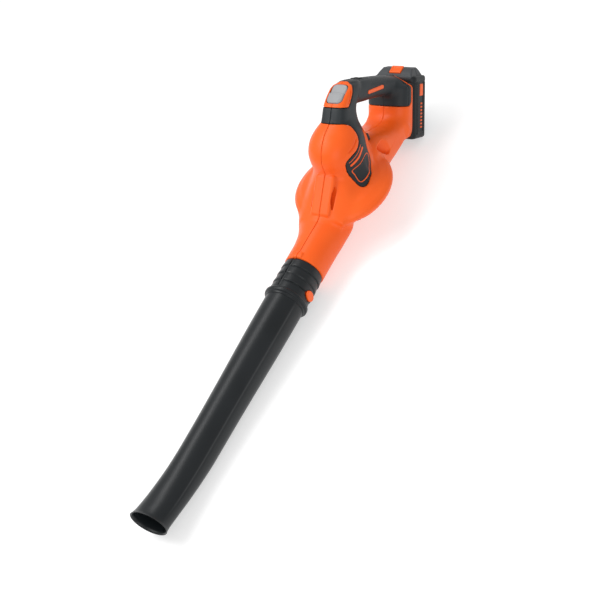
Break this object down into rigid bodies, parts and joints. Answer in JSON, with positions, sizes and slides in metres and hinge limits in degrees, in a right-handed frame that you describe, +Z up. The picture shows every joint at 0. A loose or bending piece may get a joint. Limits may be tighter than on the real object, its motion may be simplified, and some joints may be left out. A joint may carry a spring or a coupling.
{
  "type": "cordless leaf blower",
  "caption": "Battery leaf blower: a round fan housing under a closed loop handle, with a slide-on battery behind and a long removable blow tube whose nozzle turns up.",
  "frame": {"origin": "middle of the bounding box on the plane the tool lies on", "axes": "+X along the blow tube towards the nozzle, +Z up, +Y to the tool's left as it is held"},
  "size_m": [0.886, 0.164, 0.2053],
  "materials": {
    "orange_shell": "satin-gloss moulded ABS, bright orange",
    "dark_grip": "dark grey soft overmould with a fine stipple",
    "black_tube": "black satin blow-moulded plastic",
    "grey_button": "light grey moulded plastic",
    "orange_button": "orange moulded plastic",
    "battery_case": "black textured plastic",
    "battery_head": "dark grey textured plastic",
    "cell_wrap": "heat-shrink sleeve",
    "steel": "zinc-plated steel",
    "copper": "copper windings and commutator",
    "brass": "brass",
    "magnet": "sintered ferrite",
    "circuit_board": "green solder mask",
    "switch_body": "black moulded plastic",
    "fan_plastic": "glass-filled nylon, dark grey",
    "red_wire": "red insulation",
    "black_wire": "black insulation"
  },
  "bodies": {
    "body": {"boost_bezel": "orange_shell", "boost_spring": "steel", "boost_switch": "switch_body", "case_screw_1": "steel", "case_screw_2": "steel", "case_screw_3": "steel", "case_screw_4": "steel", "case_screw_5": "steel", "case_screw_6": "steel", "control_board": "circuit_board", "grip_inlay_left": "orange_button", "grip_inlay_right": "orange_button", "grip_left": "dark_grip", "grip_right": "dark_grip", "housing_left": "orange_shell", "housing_right": "orange_shell", "intake_grille": "orange_shell", "motor_bush_lower": "brass", "motor_bush_upper": "brass", "motor_can": "steel", "motor_end_bell": "switch_body", "motor_lead_a": "red_wire", "motor_lead_b": "black_wire", "motor_magnet_front": "magnet", "motor_magnet_rear": "magnet", "motor_mount": "battery_head", "motor_screw_front": "steel", "motor_screw_rear": "steel", "negative_lead": "black_wire", "positive_lead": "red_wire", "power_switch": "switch_body", "terminal_blade_1": "brass", "terminal_blade_2": "brass", "terminal_blade_3": "brass", "terminal_blade_4": "brass", "terminal_block": "switch_body"},
    "rotor": {"fan_impeller": "fan_plastic", "fan_nut": "steel", "motor_shaft": "steel", "motor_armature": "copper", "motor_commutator": "copper"},
    "boost": {"boost_button": "grey_button"},
    "power": {"power_slider": "switch_body"},
    "battery": {"battery_case": "battery_case", "battery_head": "battery_head", "battery_board": "circuit_board", "battery_release_spring": "steel", "battery_cell_1": "cell_wrap", "battery_cell_2": "cell_wrap", "battery_cell_3": "cell_wrap", "battery_cell_4": "cell_wrap", "battery_cell_5": "cell_wrap"},
    "battery_release": {"battery_release_button": "orange_button"},
    "tube": {"blow_tube": "black_tube"},
    "tube_lock": {"tube_lock_button": "orange_button"}
  },
  "joints": [
    {"name": "fan_spin", "type": "hinge", "parent": "body", "child": "rotor", "pos_m": [-0.18654, 0, 0.06839], "axis": [0.0431, 0, 0.9991], "continuous": true},
    {"name": "boost_press", "type": "slide", "parent": "body", "child": "boost", "axis": [-0.1127, 0, -0.9936], "range_m": [0, 0.002], "stiffness_N_per_m": 600, "deforming": ["boost_spring"]},
    {"name": "power_slide", "type": "slide", "parent": "body", "child": "power", "axis": [-0.8238, 0, -0.5669], "range_m": [0, 0.007]},
    {"name": "battery_slide", "type": "slide", "parent": "body", "child": "battery", "axis": [-0.5669, 0, 0.8238], "range_m": [0, 0.095]},
    {"name": "release_press", "type": "slide", "parent": "battery", "child": "battery_release", "axis": [-0.0779, 0, -0.997], "range_m": [0, 0.002], "stiffness_N_per_m": 600, "deforming": ["battery_release_spring"]},
    {"name": "tube_slide", "type": "slide", "parent": "body", "child": "tube", "axis": [0.9991, 0, -0.0431], "range_m": [0, 0.06]},
    {"name": "lock_press", "type": "slide", "parent": "tube", "child": "tube_lock", "axis": [0, -1, 0], "range_m": [0, 0.001], "stiffness_N_per_m": 600}
  ]
}
